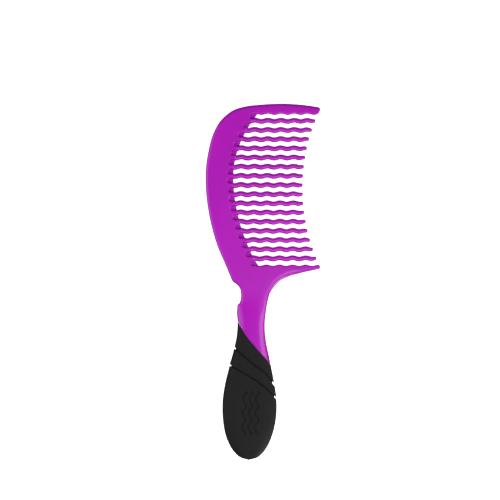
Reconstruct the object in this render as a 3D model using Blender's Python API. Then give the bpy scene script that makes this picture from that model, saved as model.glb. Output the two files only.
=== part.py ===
"""A wide tooth detangling comb: one rigid moulding (spine, wavy teeth, neck and handle core)
with a soft rubber grip moulded over the core.

The comb lies flat. +X runs along the teeth to their tips, +Y along the comb from the end of the
grip to the head, and +Z out of its face. The origin is under the middle of the comb's box, on the
surface that it lies on. The face and the back are mirror images of each other.
"""

import math

import bmesh
import bpy
import numpy as np
from mathutils import Vector

MM = 0.001

# Clearance left between two solids that touch on the real comb.
GAP = 0.3 * MM

# Thicknesses, and the height of the plane that halves the comb.
PLATE_THICKNESS = 4.6 * MM
GRIP_THICKNESS = 13.0 * MM
MID_HEIGHT = GRIP_THICKNESS / 2
EDGE_ROUND = 0.9 * MM
GUARD_EDGE_ROUND = 0.55 * MM

# Teeth. The tips end on a circular arc, and every tooth waves in step with the others.
TOOTH_COUNT = 16
TOOTH_PITCH = 5.67 * MM
FIRST_TOOTH_Y = 99.6 * MM
TOOTH_WIDTH = 2.7 * MM
TOOTH_THICKNESS_AT_ROOT = 4.3 * MM
TOOTH_THICKNESS_AT_TIP = 3.0 * MM
TIP_ARC_RADIUS = 114.8 * MM
TIP_ARC_X = 139.3 * MM
TIP_ARC_Y = 58.0 * MM
WAVE_LENGTH = 8.12 * MM
WAVE_HEIGHT = 0.37 * MM
WAVE_CREST_X = 10.2 * MM
WAVE_CREST_DRIFT = 0.0118
# The wave dies away over the last stretch of a tooth, down to this share of its height.
WAVE_FADE = 5.0 * MM
WAVE_AT_TIP = 0.25
# How a tip is rounded: tooth widths back from its end, and the share of the section left there.
TIP_ROUNDING = ((0.6, 1.0), (0.32, 0.86), (0.1, 0.6), (0.0, 0.25))
STEPS_PER_WAVE = 6
TOOTH_SIDES = 8

# Guard teeth: the two broad teeth that end the row.
TOP_GUARD_Y = 103.8 * MM
BOTTOM_GUARD_Y = 10.2 * MM
BOTTOM_GUARD_START_X = 13.0 * MM
GUARD_TIP_X = 35.3 * MM
GUARD_TIP_THICKNESS = 3.4 * MM

# Pockets: the shallow U-shaped recess at the root of every gap between teeth, on both faces.
POCKET_LENGTH = 3.6 * MM
POCKET_WIDTH = 3.6 * MM
POCKET_WEB = 1.2 * MM

# Handle. The grip wraps the core from a slanted edge down to the end of the comb.
NECK_TOP_Y = -4.1 * MM
COMB_END_Y = -110.0 * MM
GRIP_WALL = 2.0 * MM
GROOVE_WIDTH = 1.0 * MM
GROOVE_DEPTH = 1.1 * MM
# A groove crosses the handle at a slant, so it is this much wider along the comb than across itself.
GROOVE_SLANT = 1.35
CORE_END_Y = -98.0 * MM
END_ROUNDING = 15.0 * MM
FLAT_SHARE = 0.97
HANDLE_SIDES = 24
# Where the rings of points round the neck and round the end of the grip lie, in millimetres.
NECK_RINGS_Y = (-7.0, -9.5, -12.0, -13.6, -15.0, -18.0)
GRIP_END_RINGS_Y = (-97, -101, -104.5, -107.2, -108.9, -109.7, -110)

# Half the handle's thickness along it, as (y, half thickness) in millimetres.
HANDLE_THICKNESS = ((-95, 6.5), (-70, 6.5), (-50, 5.4), (-30, 4.0), (-15, 2.9), (-4.1, 2.3))
# How square its section is along it, as (y, exponent): 2 is an ellipse.
HANDLE_SQUARENESS = ((-40, 2.3), (-22, 2.1), (-10, 2.4), (-4.1, 4.0))

# Outlines seen from the face, as (x, y) in millimetres. Each is a smooth curve through its points.
BACK_EDGE = (
    (-3.4, 109.0), (-10.8, 108.3), (-18.2, 106.0), (-25.6, 100.1), (-30.4, 92.0), (-33.6, 80.5),
    (-35.1, 70.0), (-35.2, 59.0), (-33.9, 46.0), (-31.2, 32.9), (-27.5, 21.0), (-23.8, 12.5),
    (-20.1, 3.7), (-19.0, 0.9),
)
THUMB_NOTCH_TOP = ((-19.0, 0.9), (-17.9, -0.1), (-15.9, -1.6), (-14.0, -4.1))
HANDLE_LEFT = (
    (-14.0, -4.1), (-13.4, -7.0), (-13.5, -10.5), (-14.3, -12.9), (-15.6, -14.3), (-15.9, -19.0),
    (-15.5, -25.0), (-16.1, -33.8), (-18.3, -43.7), (-20.9, -53.5), (-23.3, -63.4), (-24.7, -73.3),
    (-24.7, -83.2), (-23.3, -93.1), (-21.0, -99.6), (-17.7, -105.0), (-14.0, -108.4), (-8.9, -110.0),
)
HANDLE_RIGHT = (
    (6.1, -4.1), (4.2, -6.9), (2.9, -11.5), (1.6, -19.0), (0.95, -27.0), (1.6, -36.2),
    (3.6, -46.1), (5.6, -56.0), (7.7, -68.4), (8.3, -78.3), (7.3, -88.2), (4.3, -98.1),
    (0.7, -104.5), (-3.5, -108.5), (-8.9, -110.0),
)
SHOULDER_EDGE = ((6.1, -4.1), (8.1, -1.6), (10.4, 0.5), (13.0, 2.1))
BOTTOM_GUARD_EDGE = ((13.0, 2.1), (18.9, 4.4), (26.3, 6.3), (33.6, 7.9))
BOTTOM_GUARD_TIP = ((33.6, 7.9), (34.9, 8.15), (35.3, 9.2), (34.9, 10.1))
TOP_GUARD_EDGE = ((34.4, 107.9), (26.3, 109.1), (15.2, 109.96), (9.6, 110.0), (-3.4, 109.25))
TOP_GUARD_TIP = ((33.8, 103.9), (34.6, 104.7), (35.3, 107.1), (34.4, 107.9))
ROOT_LINE = (
    (-3.6, 103.8), (-5.5, 101.3), (-8.8, 96.4), (-14.3, 85.7), (-17.7, 73.9), (-18.5, 63.4),
    (-17.5, 51.2), (-13.8, 34.3), (-7.15, 17.2), (-3.2, 10.2),
)
GRIP_EDGE = ((-15.3, -24.6), (-13.7, -27.6), (-10.7, -32.8), (-2.1, -43.2), (4.6, -50.8))
UPPER_GROOVE = ((-17.6, -40.8), (-13.2, -44.4), (-6.0, -50.5), (0.0, -54.9), (6.9, -63.4))
LOWER_GROOVE = ((-20.4, -51.4), (-13.2, -55.2), (-5.5, -59.9), (1.2, -64.9), (7.9, -71.6))

PURPLE = (0.37, 0.003, 0.41, 1.0)
BLACK = (0.012, 0.012, 0.012, 1.0)
PLASTIC_ROUGHNESS = 0.35
RUBBER_ROUGHNESS = 0.75
SHARP_ANGLE = math.radians(35)


# ---------------------------------------------------------------- helpers


def clear_scene():
    for old in list(bpy.data.objects):
        bpy.data.objects.remove(old, do_unlink=True)


def plain_material(name, colour, roughness):
    material = bpy.data.materials.new(name)
    material.use_nodes = True
    shader = material.node_tree.nodes["Principled BSDF"]
    shader.inputs["Base Color"].default_value = colour
    shader.inputs["Roughness"].default_value = roughness
    shader.inputs["Metallic"].default_value = 0.0
    return material


def smooth(points_mm, steps=3):
    """A centripetal Catmull-Rom curve through points in millimetres, as Vectors in metres."""
    points = [Vector(point) * MM for point in points_mm]
    points = [2 * points[0] - points[1], *points, 2 * points[-1] - points[-2]]
    curve = [points[1]]
    for a, b, c, d in zip(points, points[1:], points[2:], points[3:]):
        t0 = 0.0
        t1 = t0 + math.sqrt((b - a).length)
        t2 = t1 + math.sqrt((c - b).length)
        t3 = t2 + math.sqrt((d - c).length)
        for step in range(1, steps + 1):
            t = t1 + (t2 - t1) * step / steps
            ab = a.lerp(b, (t - t0) / (t1 - t0))
            bc = b.lerp(c, (t - t1) / (t2 - t1))
            cd = c.lerp(d, (t - t2) / (t3 - t2))
            abc = ab.lerp(bc, (t - t0) / (t2 - t0))
            bcd = bc.lerp(cd, (t - t1) / (t3 - t1))
            curve.append(abc.lerp(bcd, (t - t1) / (t2 - t1)))
    return curve


def x_at(curve, y):
    """Where a curve that never turns back in Y crosses this height."""
    ordered = sorted(curve, key=lambda point: point.y)
    return float(np.interp(y, [p.y for p in ordered], [p.x for p in ordered]))


def along(table_mm, y):
    """The second column of a table of (y, value), in the table's own units, at this height."""
    return float(np.interp(y / MM, [row[0] for row in table_mm], [row[1] for row in table_mm]))


def add_node(name, bm, material):
    """Makes an object of the mesh, which was built about the comb's middle plane."""
    bmesh.ops.recalc_face_normals(bm, faces=bm.faces)
    mesh = bpy.data.meshes.new(name)
    bm.to_mesh(mesh)
    bm.free()
    mesh.materials.append(material)
    mesh.shade_smooth()
    mesh.set_sharp_from_angle(angle=SHARP_ANGLE)
    node = bpy.data.objects.new(name, mesh)
    node.location.z = MID_HEIGHT
    bpy.context.scene.collection.objects.link(node)
    return node


def inset_outline(points, depths):
    """The outline, with the side that follows each point moved in by its depth."""
    moved = []
    for i, point in enumerate(points):
        before = (point - points[i - 1]).normalized()
        after = (points[(i + 1) % len(points)] - point).normalized()
        turn = before.cross(after)
        if abs(turn) < 0.02:
            moved.append(point + depths[i] * Vector((-after.y, after.x)))
        else:
            moved.append(point + (depths[i] * before - depths[i - 1] * after) / -turn)
    return moved


def slab(name, stretches, half_thickness, edge_round, material):
    """A plate with round edges. Its outline runs anticlockwise and is a list of (points, rounded),
    end to end: a stretch that is a cut through the moulding isn't rounded. half_thickness gives
    half the plate's thickness at each x."""
    points = []
    rounded = []
    for stretch, is_rounded in stretches:
        points += stretch[:-1]
        rounded += [is_rounded] * (len(stretch) - 1)
    bm = bmesh.new()
    rings = []
    for turn in (0, 30, 60, 90):
        inset = edge_round * (1 - math.cos(math.radians(turn)))
        drop = edge_round * (1 - math.sin(math.radians(turn)))
        outline = inset_outline(points, [inset if is_rounded else 0.0 for is_rounded in rounded])
        for side in (-1, 1):
            ring = [bm.verts.new((p.x, p.y, side * (half_thickness(p.x) - drop))) for p in outline]
            rings.insert(0 if side < 0 else len(rings), ring)
    for low, high in zip(rings, rings[1:]):
        for i in range(len(points)):
            bm.faces.new((low[i - 1], low[i], high[i], high[i - 1]))
    bm.faces.new(rings[0])
    bm.faces.new(rings[-1])
    return add_node(name, bm, material)


def loft(name, rings, material):
    """A closed skin over rings of equal length. Points i and -i of a ring lie above each other,
    so each end is closed by upright strips, which follow an end that is slanted or bowed."""
    bm = bmesh.new()
    loops = [[bm.verts.new(point) for point in ring] for ring in rings]
    count = len(loops[0])
    for first, second in zip(loops, loops[1:]):
        for i in range(count):
            j = (i + 1) % count
            bm.faces.new((first[i], first[j], second[j], second[i]))
    for loop in (loops[0], loops[-1]):
        for i in range(count // 2):
            j = i + 1
            corners = [loop[i], loop[j], loop[-j], loop[-i]]
            bm.faces.new(list(dict.fromkeys(corners)))
    return add_node(name, bm, material)


# ---------------------------------------------------------------- teeth and spine


def tip_x(y):
    return TIP_ARC_X - math.sqrt(TIP_ARC_RADIUS**2 - (y - TIP_ARC_Y) ** 2)


def wave(x, y, end_x=math.inf):
    """How far the wave lifts a tooth at this place, given where the tooth ends."""
    crest_x = WAVE_CREST_X + WAVE_CREST_DRIFT * (y - BOTTOM_GUARD_Y)
    left = min(1.0, max(0.0, (end_x - x) / WAVE_FADE))
    height = WAVE_HEIGHT * (WAVE_AT_TIP + (1 - WAVE_AT_TIP) * left)
    return height * math.cos(2 * math.pi * (x - crest_x) / WAVE_LENGTH)


def wavy_edge(start_x, end_x, y):
    """The waving inner edge of a guard tooth, from start_x up to but without end_x."""
    steps = max(2, round(abs(end_x - start_x) / WAVE_LENGTH * STEPS_PER_WAVE))
    xs = [start_x + (end_x - start_x) * i / steps for i in range(steps)]
    return [Vector((x, y + wave(x, y))) for x in xs]


def add_tooth(index, root_line, plastic):
    y = FIRST_TOOTH_Y - index * TOOTH_PITCH
    start = x_at(root_line, y) + GAP
    end = tip_x(y)
    tip = [(end - back * TOOTH_WIDTH, share) for back, share in TIP_ROUNDING]
    body_end = tip[0][0]
    steps = round((body_end - start) / WAVE_LENGTH * STEPS_PER_WAVE)
    stations = [(start + (body_end - start) * i / steps, 1.0) for i in range(steps)] + tip
    rings = []
    for place, (x, share) in enumerate(stations):
        thickness = np.interp(x, (start, end), (TOOTH_THICKNESS_AT_ROOT, TOOTH_THICKNESS_AT_TIP))
        ring = []
        for side in range(TOOTH_SIDES):
            turn = 2 * math.pi * side / TOOTH_SIDES
            point_y = y + wave(x, y, end) - share * TOOTH_WIDTH / 2 * math.cos(turn)
            point_x = x_at(root_line, point_y) + GAP if place == 0 else x
            ring.append((point_x, point_y, share * thickness / 2 * math.sin(turn)))
        rings.append(ring)
    return loft(f"tooth_{index + 1:02d}", rings, plastic)


def guard_taper(root_x):
    """Half the thickness of a guard tooth at each x, thinning evenly from its root to its tip."""
    fall = (PLATE_THICKNESS - GUARD_TIP_THICKNESS) / 2 / (GUARD_TIP_X - root_x)
    return lambda x: PLATE_THICKNESS / 2 - fall * (x - root_x)


def add_top_guard(plastic):
    tip = [Vector(point) * MM for point in TOP_GUARD_TIP]
    top_edge = smooth(TOP_GUARD_EDGE)
    top_edge[-1].x += GAP
    root_x = ROOT_LINE[0][0] * MM + GAP
    inner = wavy_edge(root_x, tip[0].x, TOP_GUARD_Y)
    stretches = [(inner + [tip[0]], True), (tip, True), (top_edge, True)]
    stretches.append(([top_edge[-1], inner[0]], False))
    return slab("guard_tooth_top", stretches, guard_taper(root_x), GUARD_EDGE_ROUND, plastic)


def add_bottom_guard(plastic):
    tip = [Vector(point) * MM for point in BOTTOM_GUARD_TIP]
    outer = smooth(BOTTOM_GUARD_EDGE)
    outer[0].x += GAP
    root_x = BOTTOM_GUARD_START_X + GAP
    inner = wavy_edge(root_x, tip[-1].x, BOTTOM_GUARD_Y)[::-1]
    stretches = [(outer, True), (tip + [inner[0]], True), (inner, True)]
    stretches.append(([inner[-1], outer[0]], False))
    return slab("guard_tooth_bottom", stretches, guard_taper(root_x), GUARD_EDGE_ROUND, plastic)


def pocket_outline(root_line, y):
    """A U lying on its side: round towards the spine, open past the end of the gap."""
    radius = POCKET_WIDTH / 2
    root = x_at(root_line, y)
    centre_x = root - POCKET_LENGTH + radius
    outline = []
    for step in range(7):
        turn = math.pi / 2 + math.pi * step / 6
        outline.append((centre_x + radius * math.cos(turn), y + radius * math.sin(turn)))
    past = root + POCKET_LENGTH
    return outline + [(past, y - radius), (past, y + radius)]


def add_pocket_cutter(root_line):
    """A prism for each pocket, above and below the web that the pockets leave."""
    bm = bmesh.new()
    for gap in range(TOOTH_COUNT + 1):
        y = FIRST_TOOTH_Y + (0.5 - gap) * TOOTH_PITCH
        for side in (-1, 1):
            floor = side * POCKET_WEB / 2
            corners = [bm.verts.new((px, py, floor)) for px, py in pocket_outline(root_line, y)]
            face = bm.faces.new(corners)
            made = bmesh.ops.extrude_face_region(bm, geom=[face])["geom"]
            moved = [item for item in made if isinstance(item, bmesh.types.BMVert)]
            bmesh.ops.translate(bm, verts=moved, vec=(0, 0, side * PLATE_THICKNESS))
    cutter = add_node("pocket_cutter", bm, plain_material("guide", (1, 1, 1, 1), 0.5))
    cutter.hide_render = True
    cutter.display_type = "WIRE"
    return cutter


def add_spine(root_line, plastic):
    """The curved back of the comb with its lower shoulder, cut off from the teeth and the neck."""
    shoulder = smooth(SHOULDER_EDGE)
    roots = root_line[::-1]
    top = smooth(BACK_EDGE)
    inner = wavy_edge(BOTTOM_GUARD_START_X, roots[0].x, BOTTOM_GUARD_Y)
    stretches = [
        (top, True),
        (smooth(THUMB_NOTCH_TOP), True),
        ([Vector(THUMB_NOTCH_TOP[-1]) * MM, shoulder[0]], False),
        (shoulder, True),
        ([shoulder[-1], inner[0]], False),
        (inner + [roots[0]], True),
        (roots, False),
        ([roots[-1], top[0]], False),
    ]
    spine = slab("spine", stretches, lambda x: PLATE_THICKNESS / 2, EDGE_ROUND, plastic)
    cut = spine.modifiers.new("pockets", "BOOLEAN")
    cut.operation = "DIFFERENCE"
    cut.solver = "EXACT"
    cut.object = add_pocket_cutter(root_line)
    return spine


# ---------------------------------------------------------------- handle


class Handle:
    """The outer surface of the handle, before the grooves are cut."""

    def __init__(self):
        self.left = smooth(HANDLE_LEFT)
        self.right = smooth(HANDLE_RIGHT)

    def half_thickness(self, y):
        past = min(1.0, max(0.0, (COMB_END_Y + END_ROUNDING - y) / END_ROUNDING))
        return along(HANDLE_THICKNESS, y) * MM * math.sqrt(1 - past**2)

    def across(self, points_mm):
        """A curve across the handle as (share of the width, y) rows."""
        rows = []
        for point in smooth(points_mm):
            left = x_at(self.left, point.y)
            right = x_at(self.right, point.y)
            rows.append(((point.x - left) / (right - left), point.y))
        return rows

    def ring(self, curve, inset=0.0, shift=0.0):
        """A ring of points round the handle along a curve across it, moved in by inset and
        along the comb by shift. An inset point still lies on the curve, as seen from the face."""
        shares = [row[0] for row in curve]
        ys = [row[1] for row in curve]
        ring = []
        for side in range(HANDLE_SIDES):
            turn = 2 * math.pi * side / HANDLE_SIDES
            reach = 1.0
            for _ in range(4):
                y = shift + float(np.interp((1 - reach * math.cos(turn)) / 2, shares, ys))
                left = x_at(self.left, y)
                right = x_at(self.right, y)
                half_width = max(0.1 * MM, (right - left) / 2 - inset)
                reach = 2 * half_width / (right - left)
            power = along(HANDLE_SQUARENESS, y)
            rise = (1 - abs(math.cos(turn)) ** power) ** (1 / power)
            height = max(0.1 * MM, self.half_thickness(y) - inset) * min(1.0, rise / FLAT_SHARE)
            x = (left + right) / 2 - half_width * math.cos(turn)
            up = 0 if side in (0, HANDLE_SIDES // 2) else math.copysign(height, math.sin(turn))
            ring.append((x, y, up))
        return ring


def level(y):
    return [(0.0, y), (1.0, y)]


def between(first, second, share):
    """A curve across the handle, this share of the way from the first to the second."""
    places = [i / 12 for i in range(13)]
    rows = []
    for place in places:
        start, end = (np.interp(place, *zip(*curve)) for curve in (first, second))
        rows.append((place, float(start + (end - start) * share)))
    return rows


def add_neck(handle, grip_edge, plastic):
    """The neck, from the shoulder down to the slanted edge of the grip."""
    curves = [level(NECK_TOP_Y - GAP)] + [level(y * MM) for y in NECK_RINGS_Y]
    curves += [between(curves[-1], grip_edge, share) for share in (0.25, 0.5, 0.75)]
    rings = [handle.ring(curve) for curve in curves]
    rings.append(handle.ring(grip_edge, shift=GAP / 2))
    return loft("neck", rings, plastic)


def core_curves(grip_edge, end_y):
    return [between(grip_edge, level(end_y), share) for share in (0.2, 0.4, 0.6, 0.8, 1.0)]


def add_core(handle, grip_edge, plastic):
    """The part of the moulding that the grip covers."""
    inset = GRIP_WALL + GAP
    rings = [handle.ring(grip_edge, inset, -GAP / 2)]
    rings += [handle.ring(curve, inset) for curve in core_curves(grip_edge, CORE_END_Y)]
    return loft("handle_core", rings, plastic)


def groove_rings(handle, curve):
    """The rings round one groove, cut square into the grip."""
    half = GROOVE_WIDTH / 2 * GROOVE_SLANT
    steps = ((half, 0.0), (half, GROOVE_DEPTH), (-half, GROOVE_DEPTH), (-half, 0.0))
    return [handle.ring(curve, inset, shift) for shift, inset in steps]


def add_grip(handle, grip_edge, rubber):
    """A sleeve that is open at its slanted top edge and closed at the end of the comb."""
    upper = handle.across(UPPER_GROOVE)
    lower = handle.across(LOWER_GROOVE)
    ends = [level(y * MM) for y in GRIP_END_RINGS_Y]
    inside = [handle.ring(curve, GRIP_WALL) for curve in core_curves(grip_edge, CORE_END_Y - GAP)]
    rings = inside[::-1]
    rings.append(handle.ring(grip_edge, GRIP_WALL, -GAP / 2))
    rings.append(handle.ring(grip_edge, shift=-GAP / 2))
    rings += [handle.ring(between(grip_edge, upper, share)) for share in (0.35, 0.7)]
    rings += groove_rings(handle, upper)
    rings.append(handle.ring(between(upper, lower, 0.5)))
    rings += groove_rings(handle, lower)
    rings += [handle.ring(between(lower, ends[0], share)) for share in (0.2, 0.4, 0.6, 0.8)]
    rings += [handle.ring(curve) for curve in ends]
    return loft("rubber_grip", rings, rubber)


def main():
    clear_scene()
    plastic = plain_material("purple_plastic", PURPLE, PLASTIC_ROUGHNESS)
    rubber = plain_material("black_rubber", BLACK, RUBBER_ROUGHNESS)
    root_line = smooth(ROOT_LINE)
    add_spine(root_line, plastic)
    for index in range(TOOTH_COUNT):
        add_tooth(index, root_line, plastic)
    add_top_guard(plastic)
    add_bottom_guard(plastic)
    handle = Handle()
    grip_edge = handle.across(GRIP_EDGE)
    add_neck(handle, grip_edge, plastic)
    add_core(handle, grip_edge, plastic)
    add_grip(handle, grip_edge, rubber)


main()
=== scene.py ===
"""The looks of the wide tooth comb: a seamless purple moulding and its rubber grip.

Both skins are meshed from a formula for their surface, which gives the fillets at the roots of the
teeth, the round edges, the pockets and the grooves. The formula works in millimetres about the
comb's middle plane: +X runs to the tips of the teeth, +Y to the head and +Z out of the face.
"""

import math

import bmesh
import bpy
import numpy as np
import openvdb
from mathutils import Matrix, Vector


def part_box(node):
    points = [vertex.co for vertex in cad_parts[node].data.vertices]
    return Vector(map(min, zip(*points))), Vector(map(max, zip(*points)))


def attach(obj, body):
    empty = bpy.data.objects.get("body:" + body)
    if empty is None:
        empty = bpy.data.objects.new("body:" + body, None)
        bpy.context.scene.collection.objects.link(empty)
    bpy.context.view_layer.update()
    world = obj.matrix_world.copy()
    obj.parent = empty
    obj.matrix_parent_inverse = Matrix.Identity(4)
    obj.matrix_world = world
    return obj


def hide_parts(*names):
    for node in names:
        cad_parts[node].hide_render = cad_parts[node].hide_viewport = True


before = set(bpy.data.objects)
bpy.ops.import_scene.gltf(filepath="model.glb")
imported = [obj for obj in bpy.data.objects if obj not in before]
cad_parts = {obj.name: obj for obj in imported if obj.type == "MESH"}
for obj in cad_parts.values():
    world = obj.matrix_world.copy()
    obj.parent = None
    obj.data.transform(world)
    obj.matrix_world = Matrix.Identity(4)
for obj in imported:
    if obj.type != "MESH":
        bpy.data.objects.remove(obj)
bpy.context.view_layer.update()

MM = 0.001
BODY = "root"


# ---------------------------------------------------------------- what the frame says


def box_mm(*nodes):
    """The lowest and highest corners of some CAD nodes together, in millimetres."""
    corners = np.array([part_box(node) for node in nodes]) / MM
    return corners[:, 0].min(0), corners[:, 1].max(0)


TOOTH_NODES = sorted(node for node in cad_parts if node.startswith("tooth_"))
TOOTH_BOXES = np.array([box_mm(node) for node in TOOTH_NODES])
TOOTH_Y = TOOTH_BOXES[:, :, 1].mean(1)
TOOTH_ROOT_X = TOOTH_BOXES[:, 0, 0]
TOOTH_TIP_X = TOOTH_BOXES[:, 1, 0]
PITCH = float((TOOTH_Y[0] - TOOTH_Y[-1]) / (len(TOOTH_Y) - 1))
GRIP_LOW, GRIP_HIGH = box_mm("rubber_grip")
MID_HEIGHT = float(GRIP_LOW[2] + GRIP_HIGH[2]) / 2
SPINE_LOW, SPINE_HIGH = box_mm("spine")
PLATE_HALF = float(SPINE_HIGH[2] - SPINE_LOW[2]) / 2
GUARD_TIP_X = float(box_mm("guard_tooth_top", "guard_tooth_bottom")[1][0])
COMB_END_Y = float(GRIP_LOW[1])

# ---------------------------------------------------------------- sizes, in millimetres

# The wave of the teeth and of the guard teeth's inner edges. Its crests drift towards the tips
# from tooth to tooth, and it dies down over the last stretch before a tip.
WAVE_LENGTH = 8.12
WAVE_HEIGHT = 0.40
WAVE_CREST_X = 10.2
WAVE_CREST_DRIFT = 0.0118
WAVE_FADE = 5.0
WAVE_AT_TIP = 0.25
TOP_GUARD_Y = 103.8
BOTTOM_GUARD_Y = 10.2
GUARD_TIP_HALF = 1.7

# The teeth: pairs are at the root and at the tip.
TOOTH_HALF_WIDTH = (1.38, 1.30)
TOOTH_HALF_THICKNESS = (2.1, 1.5)
TOOTH_SQUARENESS = 2.3
TIP_TAPER = 3.5
TIP_SHARE = 0.78
TIP_ROUND = 1.0
ROOT_FILLET = 0.4
ROOT_DEPTH = 2.5

# How the plate's edges are rounded: the width of the round in plan, and its height. The shoulder,
# under the lower guard tooth, sets in over SHOULDER_Y and SHOULDER_X. The inner edge's round gives
# way to the outer one TO_OUTER_ROUND from that edge, and in a narrow place the outer round takes
# no more than NARROW_SHARE of the width.
OUTER_ROUND = 2.0
INNER_ROUND = 1.0
SHOULDER_ROUND = 4.0
EDGE_HEIGHT = 1.9
SHOULDER_DROP = 2.0
SHOULDER_Y = (13, 6)
SHOULDER_X = (0, 7)
TO_OUTER_ROUND = (1.2, 3.0)
NARROW_SHARE = 0.65

# The pockets at the roots of the teeth, which run on to POCKET_OPEN past their round ends, into the
# gaps. A web is left at the middle plane.
POCKET_LENGTH = 3.6
POCKET_RADIUS = 1.8
POCKET_DRAFT = 0.12
POCKET_WEB_HALF = 0.6
POCKET_EDGE = 0.2
POCKET_OPEN = 8

# An antialiased edge against a white floor looks a little inside the true one, so the shapes are
# this much fuller in plan.
FULLER = 0.2

# The handle. Its crown is cut to a flat on the face and on the back.
PLATE_END_Y = -1.0
NECK_START_Y = -24.0
END_ROUNDING = 15.0
FLAT_SHARE = 0.94
FLAT_EDGE = 0.5
LEAST_HALF_WIDTH = 0.2
SEAM_HALF = 0.06
SEAM_EDGE = 0.25

# The grip, the two grooves round it, the flare of the band below each, and the pattern pressed into
# its face: three short waves side by side, MOTIF_WAVE being the height and length of a wave.
GRIP_WALL = 2.0
HOLLOW_EDGE = 0.3
CORE_END_Y = -98.3
GROOVE_WIDTH = 1.0
GROOVE_DEPTH = 1.1
GROOVE_EDGE = 0.2
BAND_FLARE = 0.3
BAND_FLARE_LENGTH = 5.0
MOTIF_MIDDLE = (-8.0, -80.5)
MOTIF_TURN = math.radians(88)
MOTIF_HALF_LENGTH = 13.0
MOTIF_SPACING = 3.8
MOTIF_WAVE = (1.1, 8.7)
MOTIF_HALF_WIDTH = 0.6
MOTIF_DEPTH = 0.5

# Meshing: the size of a cell of the grid, how far the grid goes past the CAD's box, and the most
# triangles that a skin may have.
FRAME_CELL = 0.3
GRIP_CELL = 0.33
GRID_MARGIN = 1.5
MOST_TRIANGLES = 190000

# Half the handle's thickness along it, and how square its section is, as (y, value).
HANDLE_THICKNESS = (
    (-112, 6.5), (-95, 6.5), (-82, 6.5), (-70, 6.5), (-50, 5.4), (-30, 4.0), (-15, 2.9),
    (-4.1, 2.35), (6, 2.3),
)
HANDLE_SQUARENESS = ((-112, 2.4), (-40, 2.3), (-22, 2.05), (-10, 2.2), (6, 3.0))

# The comb's outline seen from the face, in the curves between its corners: the same curves as the
# CAD's, which this script can't read.
TOP_AND_BACK = (
    (34.4, 107.9), (26.3, 109.1), (15.2, 109.96), (9.6, 110.0), (-1.5, 109.4), (-10.8, 108.3),
    (-18.2, 106.0), (-25.6, 100.1), (-30.4, 92.0), (-33.6, 80.5), (-35.1, 70.0), (-35.2, 59.0),
    (-33.9, 46.0), (-31.2, 32.9), (-27.5, 21.0), (-23.8, 12.5), (-20.1, 3.7), (-19.0, 0.9),
)
THUMB_NOTCH = (
    (-19.0, 0.9), (-17.9, -0.1), (-15.9, -1.6), (-14.0, -4.1), (-13.4, -7.0), (-13.5, -10.5),
    (-14.3, -12.9), (-15.6, -14.3),
)
HANDLE_LEFT = (
    (-15.6, -14.3), (-15.9, -19.0), (-15.5, -25.0), (-16.1, -33.8), (-18.3, -43.7), (-20.9, -53.5),
    (-23.3, -63.4), (-24.7, -73.3), (-24.7, -83.2), (-23.3, -93.1), (-21.0, -99.6), (-17.7, -105.0),
    (-14.0, -108.4), (-8.9, -110.0),
)
HANDLE_RIGHT = (
    (-8.9, -110.0), (-3.5, -108.5), (0.7, -104.5), (4.3, -98.1), (7.3, -88.2), (8.3, -78.3),
    (7.7, -68.4), (5.6, -56.0), (3.6, -46.1), (1.6, -36.2), (0.95, -27.0), (1.6, -19.0),
    (2.9, -11.5), (4.2, -6.9), (6.1, -4.0), (8.1, -1.6), (10.4, 0.5), (13.4, 2.3), (18.9, 4.4),
    (26.3, 6.3), (33.6, 7.9),
)
BOTTOM_GUARD_TIP = ((33.6, 7.9), (34.9, 8.15), (35.3, 9.2), (34.8, 10.1))
TOP_GUARD_TIP = ((33.8, 103.9), (34.6, 104.7), (35.3, 107.1), (34.4, 107.9))
ROOT_LINE = (
    (-3.6, 103.8), (-5.5, 101.3), (-8.8, 96.4), (-14.3, 85.7), (-17.7, 73.9), (-18.5, 63.4),
    (-17.5, 51.2), (-13.8, 34.3), (-7.15, 17.2), (-3.2, 10.2),
)
GRIP_EDGE = (
    (-17.2, -21.0), (-15.3, -24.6), (-13.7, -27.6), (-10.7, -32.8), (-2.1, -43.2), (4.6, -50.8),
    (8.0, -54.8),
)
UPPER_GROOVE = (
    (-19.6, -39.2), (-17.6, -40.8), (-13.2, -44.4), (-6.0, -50.5), (0.0, -54.9), (6.9, -63.4),
    (8.5, -65.4),
)
LOWER_GROOVE = (
    (-22.4, -50.6), (-20.4, -51.4), (-13.2, -55.2), (-5.5, -59.9), (1.2, -64.9), (7.9, -71.6),
    (9.9, -73.6),
)

# ---------------------------------------------------------------- colours, lights and camera

# Each pair is the two ends of a colour's slight variation.
PLASTIC_COLOURS = ((0.345, 0.0018, 0.38), (0.385, 0.0028, 0.424))
RUBBER_COLOURS = ((0.0085, 0.0085, 0.0085), (0.0105, 0.0105, 0.0104))
DUST_COLOUR = (0.022, 0.022, 0.022)
FLOOR_COLOURS = ((0.93, 0.93, 0.93), (0.95, 0.95, 0.95))
FLOOR_HALF = 1.5
FLOOR_CLEARANCE = 0.0001
GRIP_REST_Y = -70.0

# Lamps: name, place and size in metres, power in watts, and what they light: "all", "surface" for
# a lamp that never shows as a highlight, or "shine" for one that shows only as a highlight. The
# rim lamp is lower than the floor, which lets it through, so only the edges that face it shine.
LIGHT_AIM = (-0.01, 0.02, 0.0)
LIGHTS = (
    ("key", (0.10, -0.30, 0.60), 0.5, 2.4, "all"),
    ("low", (0.44, -0.40, 0.16), 0.4, 1.5, "surface"),
    ("right", (0.58, 0.0, 0.38), 0.6, 3.4, "all"),
    ("rim", (0.36, -0.47, -0.08), 0.34, 3.0, "shine"),
    ("left", (-0.62, 0.0, 0.34), 0.9, 3.2, "all"),
    ("left_low", (-0.68, 0.0, 0.18), 0.5, 2.2, "surface"),
    ("far", (0.0, 0.50, 0.42), 1.0, 0.85, "surface"),
)
WORLD_STRENGTH = 0.02

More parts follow.
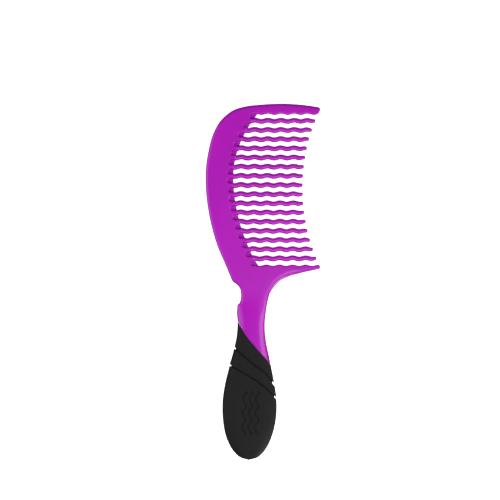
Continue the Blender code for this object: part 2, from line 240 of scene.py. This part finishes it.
# The camera looks straight down. The view's width is measured at the comb's middle plane.
CAMERA_HEIGHT = 1.5
VIEW_WIDTH = 0.3092
VIEW_CENTRE = (-0.0080, 0.01975)
SENSOR_WIDTH = 36.0

# ---------------------------------------------------------------- curves in plan


def step_between(start, end, value):
    """A smooth step from 0 at start to 1 at end."""
    t = np.clip((value - start) / (end - start), 0, 1)
    return t * t * (3 - 2 * t)


def smooth(knots, step=0.4):
    """A centripetal Catmull-Rom curve through the knots, as points about a step apart."""
    p = np.array(knots, float)
    p = np.vstack([2 * p[0] - p[1], p, 2 * p[-1] - p[-2]])
    curve = [p[1:2]]
    for a, b, c, d in zip(p, p[1:], p[2:], p[3:]):
        t0 = 0.0
        t1 = t0 + math.sqrt(np.linalg.norm(b - a))
        t2 = t1 + math.sqrt(np.linalg.norm(c - b))
        t3 = t2 + math.sqrt(np.linalg.norm(d - c))
        count = max(1, round(np.linalg.norm(c - b) / step))
        t = (t1 + (t2 - t1) * np.arange(1, count + 1) / count)[:, None]
        ab = (a * (t1 - t) + b * (t - t0)) / (t1 - t0)
        bc = (b * (t2 - t) + c * (t - t1)) / (t2 - t1)
        cd = (c * (t3 - t) + d * (t - t2)) / (t3 - t2)
        abc = (ab * (t2 - t) + bc * (t - t0)) / (t2 - t0)
        bcd = (bc * (t3 - t) + cd * (t - t1)) / (t3 - t1)
        curve.append((abc * (t2 - t) + bcd * (t - t1)) / (t2 - t1))
    return np.vstack(curve)


def wave(x, y, before_tip=math.inf):
    """How far the wave lifts a tooth, and the slope of that. It fades out before the tip."""
    turn = 2 * np.pi / WAVE_LENGTH
    phase = turn * (x - WAVE_CREST_X - WAVE_CREST_DRIFT * (y - BOTTOM_GUARD_Y))
    share = WAVE_AT_TIP + (1 - WAVE_AT_TIP) * step_between(0, WAVE_FADE, before_tip)
    height = WAVE_HEIGHT * share
    return height * np.cos(phase), -height * turn * np.sin(phase)


def wavy_edge(start_x, end_x, y, count=160):
    x = np.linspace(start_x, end_x, count)
    return np.column_stack([x, y + wave(x, y)[0]])


def inner_edge():
    """The edge that the gaps between the teeth end on, with the inner edges of the guard teeth."""
    roots = smooth(ROOT_LINE)
    return np.vstack([
        wavy_edge(BOTTOM_GUARD_TIP[-1][0], roots[-1][0], BOTTOM_GUARD_Y),
        roots[::-1],
        wavy_edge(roots[0][0], TOP_GUARD_TIP[0][0], TOP_GUARD_Y),
    ])


INNER_EDGE = inner_edge()
OUTLINE = np.vstack([
    smooth(TOP_AND_BACK), smooth(THUMB_NOTCH), smooth(HANDLE_LEFT), smooth(HANDLE_RIGHT),
    smooth(BOTTOM_GUARD_TIP), INNER_EDGE, smooth(TOP_GUARD_TIP),
])
ROOTS = smooth(ROOT_LINE)[::-1]
LEFT_SIDE = np.vstack([smooth(THUMB_NOTCH), smooth(HANDLE_LEFT)])[::-1]
RIGHT_SIDE = smooth(HANDLE_RIGHT)


def distance(x, y, line, reach=8.0, strip_size=1500):
    """Distance from each point to a closed line, up to reach, and whether the line holds the point.

    Points are taken in strips of about one Y, each against the part of the line that is near.
    """
    x, y = x.ravel(), y.ravel()
    a, b = line, np.roll(line, -1, axis=0)
    low = np.minimum(a[:, 1], b[:, 1])
    high = np.maximum(a[:, 1], b[:, 1])
    found = np.full(len(x), reach)
    inside = np.zeros(len(x), bool)
    order = np.argsort(y, kind="stable")
    for strip in np.array_split(order, max(1, len(x) // strip_size)):
        near = (low <= y[strip].max() + reach) & (high >= y[strip].min() - reach)
        if not near.any():
            continue
        (ax, ay), (bx, by) = a[near].T, b[near].T
        px, py = x[strip, None], y[strip, None]
        dx, dy = bx - ax, by - ay
        length = dx * dx + dy * dy + 1e-12
        t = np.clip(((px - ax) * dx + (py - ay) * dy) / length, 0, 1)
        gap = (px - ax - t * dx) ** 2 + (py - ay - t * dy) ** 2
        found[strip] = np.minimum(reach, np.sqrt(gap.min(1)))
        crosses = (ay > py) != (by > py)
        side = ax + (py - ay) * dx / np.where(dy == 0, 1e-12, dy)
        inside[strip] = (crosses & (px < side)).sum(1) % 2 == 1
    return found, inside


def height_over(curve, x, y):
    """How far a point is above a curve across the handle, square to the curve."""
    line = smooth(curve)
    slopes = np.gradient(line[:, 1], line[:, 0])
    slope = np.interp(x, line[:, 0], slopes)
    return (y - np.interp(x, line[:, 0], line[:, 1])) / np.sqrt(1 + slope**2)


def along(table, y):
    """A table's value at y, on a smooth curve through its (y, value) pairs."""
    line = smooth(table)
    return np.interp(y, line[:, 0], line[:, 1])


# ---------------------------------------------------------------- joining shapes
# A shape is a value at each point, about its distance outside the surface and negative inside.


def merged(a, b, fillet):
    """Both shapes, with a fillet where they meet."""
    share = np.clip(0.5 + (b - a) / (2 * fillet), 0, 1)
    return b * (1 - share) + a * share - fillet * share * (1 - share)


def common(a, b, edge):
    """What lies inside both shapes, with its new edges rounded."""
    return -merged(-a, -b, edge)


def superellipse(parts, power, least_steep=0.05, deepest=-4.0):
    """A rounded solid about an axis: parts are (offset, half size) pairs."""
    total = sum(np.abs(offset / half) ** power for offset, half in parts)
    total = np.maximum(total, 1e-4)
    steep = sum((np.abs(offset / half) ** (power - 1) / half) ** 2 for offset, half in parts)
    steep = total ** (1 / power - 1) * np.sqrt(steep)
    return np.maximum((total ** (1 / power) - 1) / np.maximum(steep, least_steep), deepest)


# ---------------------------------------------------------------- the moulding


def handle_plan(x, y):
    """The handle's section at each Y: its middle, width, height and squareness."""
    left = np.interp(y, LEFT_SIDE[:, 1], LEFT_SIDE[:, 0])
    right = np.interp(y, RIGHT_SIDE[:, 1], RIGHT_SIDE[:, 0])
    past = np.clip((COMB_END_Y + END_ROUNDING - y) / (END_ROUNDING + FULLER), 0, 0.9999)
    return {
        "across": x - (left + right) / 2,
        "half_width": np.maximum(LEAST_HALF_WIDTH, (right - left) / 2) + FULLER,
        "half_height": along(HANDLE_THICKNESS, y) * np.sqrt(1 - past**2),
        "power": along(HANDLE_SQUARENESS, y),
        "end": COMB_END_Y - FULLER - y,
    }


def handle_value(plan, z):
    """The handle's outer surface: an oval section with a flat on the face and on the back."""
    crown = plan["half_height"] / FLAT_SHARE
    parts = ((plan["across"], plan["half_width"]), (z, crown))
    oval = superellipse(parts, plan["power"])
    value = common(oval, np.abs(z) - plan["half_height"], FLAT_EDGE)
    return np.maximum(value, plan["end"])


def teeth_plan(x, y):
    """The nearest tooth's section, square to its wave, and how far past its ends a point is."""
    index = np.clip(np.rint((TOOTH_Y[0] - y) / PITCH), 0, len(TOOTH_Y) - 1).astype(int)
    root, tip = TOOTH_ROOT_X[index], TOOTH_TIP_X[index]
    share = np.clip((x - root) / (tip - root), 0, 1)
    narrowing = 1 - (1 - TIP_SHARE) * step_between(TIP_TAPER, 0, tip - x)
    lift, slope = wave(x, TOOTH_Y[index], tip - x)
    past_tip = np.maximum(0, x - (tip + FULLER - TIP_ROUND))
    past_root = np.maximum(0, root - ROOT_DEPTH - x)
    return {
        "across": (y - TOOTH_Y[index] - lift) / np.sqrt(1 + slope**2),
        "half_width": np.interp(share, (0, 1), TOOTH_HALF_WIDTH) * narrowing + FULLER,
        "half_height": np.interp(share, (0, 1), TOOTH_HALF_THICKNESS) * narrowing,
        "past": past_tip + past_root,
    }


def teeth_value(plan, z):
    parts = (
        (plan["across"], plan["half_width"]),
        (z, plan["half_height"]),
        (plan["past"], TIP_ROUND),
    )
    return superellipse(parts, TOOTH_SQUARENESS)


def pocket_plan(x, y):
    """Distance in plan from the floor of the pocket at the root of the nearest gap."""
    index = np.clip(np.rint((TOOTH_Y[0] + PITCH / 2 - y) / PITCH), 0, len(TOOTH_Y))
    gap_y = TOOTH_Y[0] + PITCH / 2 - PITCH * index
    start = np.interp(gap_y, ROOTS[:, 1], ROOTS[:, 0]) - POCKET_LENGTH + POCKET_RADIUS
    ahead = np.clip(x - start, 0, POCKET_OPEN)
    return np.hypot(x - start - ahead, y - gap_y) - POCKET_RADIUS


def frame_plan(x, y):
    """What frame_value needs at each point in plan, the same at every height."""
    reach, inside = distance(x, y, OUTLINE)
    from_teeth, _ = distance(x, y, INNER_EDGE)
    under_guard = step_between(*SHOULDER_Y, y) * step_between(*SHOULDER_X, x)
    outer = OUTER_ROUND + (SHOULDER_ROUND - OUTER_ROUND) * under_guard
    outer = np.minimum(outer, np.maximum(INNER_ROUND, NARROW_SHARE * (from_teeth + reach)))
    edge = INNER_ROUND + (outer - INNER_ROUND) * step_between(*TO_OUTER_ROUND, from_teeth)
    return {
        "outline": np.where(inside, -reach, reach) - FULLER,
        "edge": edge,
        "edge_height": np.minimum(edge, EDGE_HEIGHT + SHOULDER_DROP * under_guard),
        "half_height": np.interp(x, (0, GUARD_TIP_X), (PLATE_HALF, GUARD_TIP_HALF)),
        "to_handle": step_between(PLATE_END_Y, NECK_START_Y, y),
        "handle": handle_plan(x, y),
        "teeth": teeth_plan(x, y),
        "pocket": pocket_plan(x, y),
        "cut": -height_over(GRIP_EDGE, x, y) + SEAM_HALF,
    }


def frame_value(plan, z):
    """The moulding's surface: a plate that turns into the handle, with its teeth and pockets."""
    height = plan["edge_height"]
    # An edge that is taller than half the plate is cut off by the middle plane, on the outline.
    sunk = np.maximum(0, 1 - plan["half_height"] / height)
    reach = plan["edge"] * np.sqrt(1 - sunk**2)
    beside = (plan["outline"] + reach) * height / plan["edge"]
    above = np.abs(z) - plan["half_height"] + height
    corner = np.hypot(np.maximum(beside, 0), np.maximum(above, 0))
    plate = corner + np.minimum(np.maximum(beside, above), 0) - height
    depth = np.maximum(0, np.abs(z) - POCKET_WEB_HALF)
    wall = plan["pocket"] - POCKET_DRAFT * depth / (PLATE_HALF - POCKET_WEB_HALF)
    pocket = common(wall, POCKET_WEB_HALF - np.abs(z), POCKET_EDGE)
    plate = common(plate, -pocket, POCKET_EDGE)
    plate = plate + (handle_value(plan["handle"], z) - plate) * plan["to_handle"]
    body = merged(plate, teeth_value(plan["teeth"], z), ROOT_FILLET)
    return common(body, plan["cut"], SEAM_EDGE)


# ---------------------------------------------------------------- the grip


def motif_plan(x, y):
    """Distance in plan from the three short waves that are pressed into the grip."""
    dx, dy = x - MOTIF_MIDDLE[0], y - MOTIF_MIDDLE[1]
    along_it = dx * math.cos(MOTIF_TURN) + dy * math.sin(MOTIF_TURN)
    across_it = dy * math.cos(MOTIF_TURN) - dx * math.sin(MOTIF_TURN)
    height, length = MOTIF_WAVE
    turn = 2 * np.pi / length
    lift, slope = height * np.cos(turn * along_it), -height * turn * np.sin(turn * along_it)
    line = np.clip(np.rint((across_it - lift) / MOTIF_SPACING), -1, 1) * MOTIF_SPACING
    beside = np.abs(across_it - lift - line) / np.sqrt(1 + slope**2)
    past_end = np.maximum(0, np.abs(along_it) - MOTIF_HALF_LENGTH)
    return np.hypot(beside, past_end) - MOTIF_HALF_WIDTH


def grip_plan(x, y):
    """What grip_value needs at each point in plan, the same at every height."""
    grooves = [height_over(curve, x, y) for curve in (UPPER_GROOVE, LOWER_GROOVE)]
    flare = 0
    for height in grooves:
        rise = np.clip(1 - height / BAND_FLARE_LENGTH, 0, 1) ** 2
        flare = np.where(height > 0, BAND_FLARE * rise, flare)
    return {
        "handle": handle_plan(x, y),
        "grooves": [np.abs(height) - GROOVE_WIDTH / 2 for height in grooves],
        "flare": flare,
        "motif": motif_plan(x, y),
        "core_end": CORE_END_Y - y,
        "cut": height_over(GRIP_EDGE, x, y) + SEAM_HALF,
    }


def grip_value(plan, z):
    """The grip's surface: a sleeve, cut on a slant, with its grooves and its pressed pattern."""
    skin = handle_value(plan["handle"], z)
    value = skin - plan["flare"]
    for groove in plan["grooves"]:
        value = common(value, -np.maximum(groove, -skin - GROOVE_DEPTH), GROOVE_EDGE)
    motif = np.where(z > 0, plan["motif"], 1.0)
    value = common(value, -np.maximum(motif, -skin - MOTIF_DEPTH), GROOVE_EDGE)
    value = common(value, plan["cut"], SEAM_EDGE)
    hollow = np.maximum(skin + GRIP_WALL, plan["core_end"])
    return common(value, -hollow, HOLLOW_EDGE)


# ---------------------------------------------------------------- meshing


def raw_surface(plan_of, value_of, low, high, cell):
    """Points and faces where a shape's value is 0, found on a grid of cells."""
    low, high = np.array(low, float), np.array(high, float)
    xs, ys, zs = (np.arange(a, b, cell) for a, b in zip(low, high))
    gx, gy = np.meshgrid(xs, ys, indexing="ij")
    plan = plan_of(gx.ravel(), gy.ravel())
    values = np.stack([value_of(plan, z).reshape(gx.shape) for z in zs], axis=2)
    band = 3 * cell
    grid = openvdb.FloatGrid(band)
    grid.copyFromArray(np.clip(values, -band, band).astype(np.float32))
    points, _, quads = grid.convertToPolygons(isovalue=0.0, adaptivity=0.0)
    return np.asarray(points, float) * cell + low, np.asarray(quads)


def slope_at(points, plan_of, value_of, step=0.01):
    """A shape's value at the points and how it changes in X, Y and Z."""
    x, y, z = points.T
    plan = plan_of(x, y)
    slopes = [
        (value_of(plan_of(x + step, y), z) - value_of(plan_of(x - step, y), z)) / (2 * step),
        (value_of(plan_of(x, y + step), z) - value_of(plan_of(x, y - step), z)) / (2 * step),
        (value_of(plan, z + step) - value_of(plan, z - step)) / (2 * step),
    ]
    return value_of(plan, z), np.stack(slopes, axis=1)


def onto_surface(points, plan_of, value_of, rounds=2, most=0.2, least_steep=0.05):
    """Moves the points to where the shape's value is 0, by no more than most in each round."""
    for _ in range(rounds):
        value, slopes = slope_at(points, plan_of, value_of)
        steep = np.maximum((slopes**2).sum(1), least_steep)
        move = -slopes * (value / steep)[:, None]
        length = np.maximum(np.linalg.norm(move, axis=1), 1e-9)[:, None]
        points = points + move * np.minimum(1, most / length)
    return points


def mesh_object(name, points, faces):
    mesh = bpy.data.meshes.new(name)
    mesh.from_pydata(points.tolist(), [], faces.tolist())
    mesh.update()
    piece = bpy.data.objects.new(name, mesh)
    bpy.context.scene.collection.objects.link(piece)
    return piece


def keep_largest_part(mesh):
    """Removes the crumbs of surface that collapsing the edges can leave beside the main one."""
    shape = bmesh.new()
    shape.from_mesh(mesh)
    left = set(shape.verts)
    largest = []
    while left:
        joined = [left.pop()]
        for vertex in joined:
            for edge in vertex.link_edges:
                other = edge.other_vert(vertex)
                if other in left:
                    left.remove(other)
                    joined.append(other)
        largest = max(largest, joined, key=len)
    kept = set(largest)
    crumbs = [vertex for vertex in shape.verts if vertex not in kept]
    bmesh.ops.delete(shape, geom=crumbs, context="VERTS")
    shape.to_mesh(mesh)
    shape.free()


def thin_out(piece, most_triangles):
    """Collapses the flattest edges until the piece has no more than this many triangles."""
    triangles = sum(len(face.vertices) - 2 for face in piece.data.polygons)
    if triangles <= most_triangles:
        return
    fewer = piece.modifiers.new("fewer", "DECIMATE")
    fewer.ratio = most_triangles / triangles
    graph = bpy.context.evaluated_depsgraph_get()
    thinned = bpy.data.meshes.new_from_object(piece.evaluated_get(graph))
    piece.modifiers.clear()
    keep_largest_part(thinned)
    piece.data = thinned


def surface_piece(name, plan_of, value_of, low, high, cell):
    """A shape's smooth mesh, its points on the surface and its normals from the formula."""
    points, faces = raw_surface(plan_of, value_of, low, high, cell)
    points = onto_surface(points, plan_of, value_of)
    piece = mesh_object(name, points, faces)
    thin_out(piece, MOST_TRIANGLES)
    mesh = piece.data
    points = np.array([vertex.co for vertex in mesh.vertices], float)
    points = onto_surface(points, plan_of, value_of, most=0.1)
    normals = slope_at(points, plan_of, value_of)[1]
    normals /= np.maximum(np.linalg.norm(normals, axis=1), 1e-9)[:, None]
    points[:, 2] += MID_HEIGHT
    mesh.vertices.foreach_set("co", (points * MM).ravel())
    mesh.update()
    sample = mesh.polygons[:500]
    if sum(face.normal @ Vector(normals[face.vertices[0]]) for face in sample) < 0:
        mesh.flip_normals()
    mesh.shade_smooth()
    mesh.normals_split_custom_set_from_vertices(normals.tolist())
    return piece


# ---------------------------------------------------------------- materials


def new_material(name):
    material = bpy.data.materials.new(name)
    material.use_nodes = True
    nodes = material.node_tree.nodes
    return material, nodes, material.node_tree.links, nodes["Principled BSDF"]


def noise(nodes, links, place, scale, detail):
    texture = nodes.new("ShaderNodeTexNoise")
    texture.inputs["Scale"].default_value = scale
    texture.inputs["Detail"].default_value = detail
    links.new(place.outputs["Object"], texture.inputs["Vector"])
    return texture.outputs["Fac"]


def spread(nodes, links, source, low, high, start=0.3, end=0.7):
    """The source's value, from start to end, as a value from low to high."""
    node = nodes.new("ShaderNodeMapRange")
    for socket, value in zip(("From Min", "From Max", "To Min", "To Max"), (start, end, low, high)):
        node.inputs[socket].default_value = value
    links.new(source, node.inputs["Value"])
    return node.outputs["Result"]


def mixed_colour(nodes, links, share, first, second):
    """From the first colour to the second as share goes from 0 to 1. The first may be a socket."""
    node = nodes.new("ShaderNodeMix")
    node.data_type = "RGBA"
    if isinstance(first, tuple):
        node.inputs["A"].default_value = (*first, 1)
    else:
        links.new(first, node.inputs["A"])
    node.inputs["B"].default_value = (*second, 1)
    links.new(share, node.inputs["Factor"])
    return node.outputs["Result"]


def bump(nodes, links, height, distance_mm, strength, below=None):
    """A bumped normal, on top of the bumps below if there are any."""
    node = nodes.new("ShaderNodeBump")
    node.inputs["Distance"].default_value = distance_mm * MM
    node.inputs["Strength"].default_value = strength
    links.new(height, node.inputs["Height"])
    if below:
        links.new(below, node.inputs["Normal"])
    return node.outputs["Normal"]


def plastic_material():
    """Satin moulded plastic: an even colour with faint flow marks and a very fine skin."""
    material, nodes, links, shader = new_material("purple_plastic")
    place = nodes.new("ShaderNodeTexCoord")
    flow = noise(nodes, links, place, scale=28.0, detail=3.0)
    share = spread(nodes, links, flow, low=0.0, high=1.0)
    links.new(mixed_colour(nodes, links, share, *PLASTIC_COLOURS), shader.inputs["Base Color"])
    fine = noise(nodes, links, place, scale=900.0, detail=3.0)
    links.new(spread(nodes, links, fine, low=0.29, high=0.37), shader.inputs["Roughness"])
    skin = bump(nodes, links, fine, distance_mm=0.01, strength=0.35)
    ripple = noise(nodes, links, place, scale=120.0, detail=1.0)
    rippled = bump(nodes, links, ripple, distance_mm=0.02, strength=0.25, below=skin)
    links.new(rippled, shader.inputs["Normal"])
    shader.inputs["Specular IOR Level"].default_value = 0.42
    return material


def rubber_material():
    """Soft-touch black rubber: a fine matte grain, uneven sheen and a trace of dust."""
    material, nodes, links, shader = new_material("black_rubber")
    place = nodes.new("ShaderNodeTexCoord")
    cloud = noise(nodes, links, place, scale=45.0, detail=3.0)
    dust = noise(nodes, links, place, scale=1400.0, detail=2.0)
    patch = spread(nodes, links, cloud, low=0.0, high=0.5)
    clean = mixed_colour(nodes, links, patch, *RUBBER_COLOURS)
    dusty = spread(nodes, links, dust, low=0.0, high=0.6, start=0.62, end=0.8)
    links.new(mixed_colour(nodes, links, dusty, clean, DUST_COLOUR), shader.inputs["Base Color"])
    links.new(spread(nodes, links, cloud, low=0.62, high=0.78), shader.inputs["Roughness"])
    grain = noise(nodes, links, place, scale=2200.0, detail=2.0)
    grained = bump(nodes, links, grain, distance_mm=0.05, strength=0.35)
    links.new(grained, shader.inputs["Normal"])
    shader.inputs["Specular IOR Level"].default_value = 0.14
    shader.inputs["Sheen Weight"].default_value = 0.015
    shader.inputs["Sheen Roughness"].default_value = 0.5
    return material


def floor_material():
    """A bright matte white with a faint mottle."""
    material, nodes, links, shader = new_material("pale_floor")
    place = nodes.new("ShaderNodeTexCoord")
    mottle = noise(nodes, links, place, scale=6.0, detail=2.0)
    share = spread(nodes, links, mottle, low=0.0, high=1.0)
    links.new(mixed_colour(nodes, links, share, *FLOOR_COLOURS), shader.inputs["Base Color"])
    shader.inputs["Roughness"].default_value = 0.9
    shader.inputs["Specular IOR Level"].default_value = 0.1
    shader.inputs["Emission Color"].default_value = (1, 1, 1, 1)
    shader.inputs["Emission Strength"].default_value = 1.0
    return material


# ---------------------------------------------------------------- the set


def add_floor():
    """A pale floor, tipped so that the comb rests on its grip and on the end of its head. It is a
    plain backdrop: the comb neither mirrors it nor is lit by it."""
    rest_y = GRIP_REST_Y * MM
    head_y = SPINE_HIGH[1] * MM
    rise = (MID_HEIGHT - PLATE_HALF) * MM / (head_y - rest_y)
    corners = np.array([(-1, -1), (1, -1), (1, 1), (-1, 1)]) * FLOOR_HALF
    heights = (corners[:, 1] - rest_y) * rise - FLOOR_CLEARANCE
    floor = mesh_object("floor", np.column_stack([corners, heights]), np.array([[0, 1, 2, 3]]))
    floor.data.materials.append(floor_material())
    floor.visible_glossy = False
    floor.visible_diffuse = False
    floor.visible_shadow = False


def soft_light(name, place, size, power, lights):
    light = bpy.data.lights.new(name, "AREA")
    light.shape = "DISK"
    light.size = size
    light.energy = power
    lamp = bpy.data.objects.new(name, light)
    lamp.location = place
    lamp.rotation_euler = (Vector(LIGHT_AIM) - Vector(place)).to_track_quat("-Z", "Y").to_euler()
    lamp.visible_glossy = lights != "surface"
    lamp.visible_diffuse = lights != "shine"
    bpy.context.scene.collection.objects.link(lamp)


def white_world():
    """White where the camera sees it, and almost dark for everything else."""
    world = bpy.data.worlds.new("studio")
    world.use_nodes = True
    nodes, links = world.node_tree.nodes, world.node_tree.links
    nodes["Background"].inputs["Strength"].default_value = WORLD_STRENGTH
    seen = nodes.new("ShaderNodeBackground")
    seen.inputs["Color"].default_value = (1, 1, 1, 1)
    ray = nodes.new("ShaderNodeLightPath")
    both = nodes.new("ShaderNodeMixShader")
    links.new(ray.outputs["Is Camera Ray"], both.inputs["Fac"])
    links.new(nodes["Background"].outputs["Background"], both.inputs[1])
    links.new(seen.outputs["Background"], both.inputs[2])
    links.new(both.outputs["Shader"], nodes["World Output"].inputs["Surface"])
    return world


def add_lights():
    for light in LIGHTS:
        soft_light(*light)
    bpy.context.scene.world = white_world()


def add_camera():
    """Straight over the comb with a long lens, so that the comb lies right of the middle."""
    camera = bpy.data.cameras.new("camera")
    camera.sensor_width = SENSOR_WIDTH
    camera.lens = SENSOR_WIDTH * (CAMERA_HEIGHT - MID_HEIGHT * MM) / VIEW_WIDTH
    view = bpy.data.objects.new("camera", camera)
    view.location = (*VIEW_CENTRE, CAMERA_HEIGHT)
    bpy.context.scene.collection.objects.link(view)
    bpy.context.scene.camera = view


# ---------------------------------------------------------------- the comb


def grid_box(low, high):
    """The corners of a skin's grid: its CAD box with a margin, about the comb's middle plane."""
    half = (high[2] - low[2]) / 2 + GRID_MARGIN
    return (*(low[:2] - GRID_MARGIN), -half), (*(high[:2] + GRID_MARGIN), half)


def add_frame(plastic):
    low, high = box_mm("spine", "neck", "guard_tooth_top", "guard_tooth_bottom", *TOOTH_NODES)
    piece = surface_piece("comb_frame", frame_plan, frame_value, *grid_box(low, high), FRAME_CELL)
    piece.data.materials.append(plastic)
    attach(piece, BODY)
    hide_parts("spine", "neck", "guard_tooth_top", "guard_tooth_bottom", *TOOTH_NODES)


def add_grip(rubber):
    corners = grid_box(GRIP_LOW, GRIP_HIGH)
    piece = surface_piece("grip_skin", grip_plan, grip_value, *corners, GRIP_CELL)
    piece.data.materials.append(rubber)
    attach(piece, BODY)
    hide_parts("rubber_grip")


def finish_core(plastic):
    """The core keeps its CAD shape, since the grip covers it."""
    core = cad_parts["handle_core"]
    core.data.materials.clear()
    core.data.materials.append(plastic)


bpy.context.scene.view_settings.view_transform = "Standard"
plastic = plastic_material()
add_frame(plastic)
add_grip(rubber_material())
finish_core(plastic)
add_floor()
add_lights()
add_camera()
